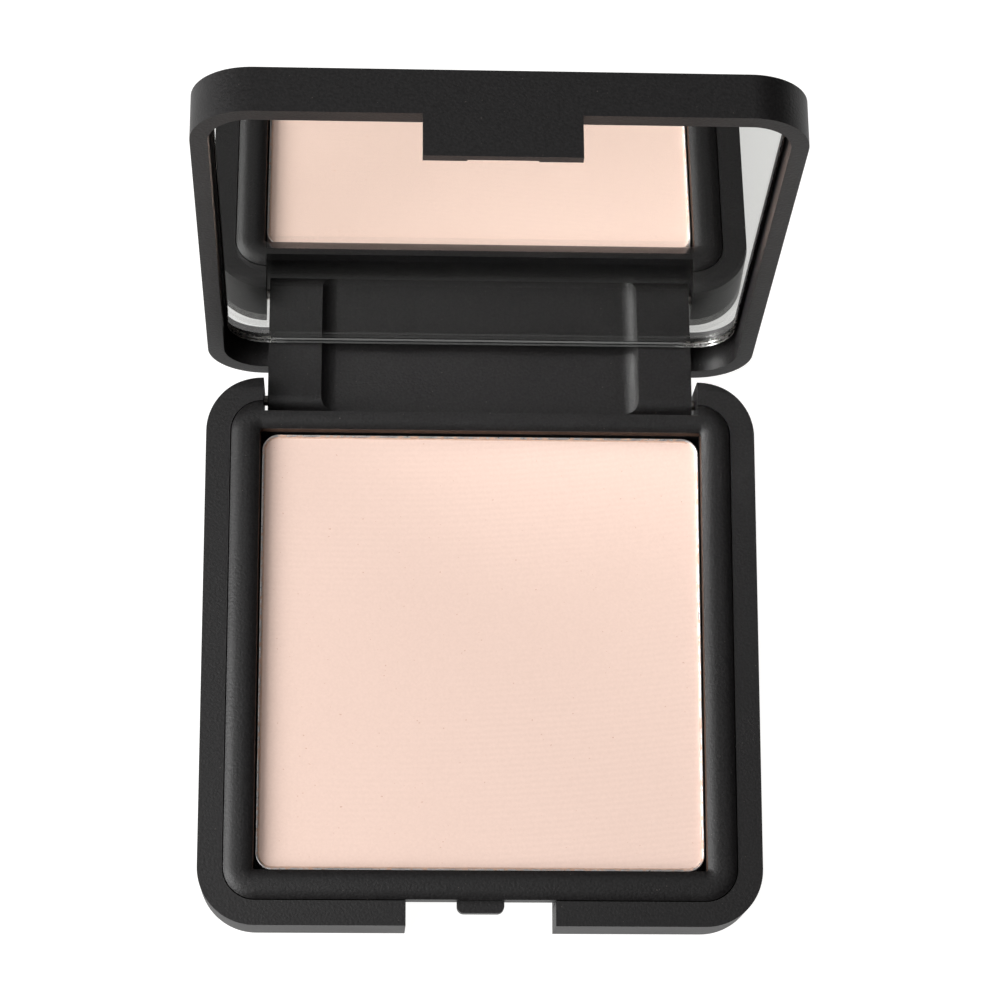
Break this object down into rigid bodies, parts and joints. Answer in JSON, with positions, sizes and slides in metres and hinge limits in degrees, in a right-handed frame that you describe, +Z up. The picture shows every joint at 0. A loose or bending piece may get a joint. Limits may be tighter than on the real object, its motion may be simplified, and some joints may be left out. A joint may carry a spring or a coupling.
{
  "type": "powder compact",
  "caption": "Square hinged powder compact: a shell and tray hold a metal pan of pressed powder, and a lid with a mirror turns on hinge pins and hooks shut with a front tab.",
  "frame": {"origin": "centre of the base's flat underside", "axes": "+Z up out of the base, +Y towards the hinge, +X along the hinge axis to the user's right"},
  "size_m": [0.068, 0.0853, 0.0688],
  "materials": {
    "case_plastic": "soft-touch matte, very fine grain",
    "tray_plastic": "satin moulded, very fine grain",
    "pan_metal": "pressed sheet, satin",
    "powder": "pressed powder, matte, fine press-cloth lines",
    "pin_steel": "ground steel wire",
    "adhesive": "dried glue",
    "mirror": "silvered float glass"
  },
  "bodies": {
    "base": {"base_shell": "case_plastic", "inner_tray": "tray_plastic", "pan_adhesive": "adhesive", "powder_pan": "pan_metal", "powder_cake": "powder", "hinge_pin_left": "pin_steel", "hinge_pin_right": "pin_steel"},
    "lid": {"lid_shell": "case_plastic", "mirror_adhesive": "adhesive", "mirror_glass": "mirror"}
  },
  "joints": [
    {"name": "lid_hinge", "type": "hinge", "parent": "base", "child": "lid", "pos_m": [0, 0.0322, 0.0032], "axis": [1, 0, 0], "range_deg": [0, 98]}
  ]
}
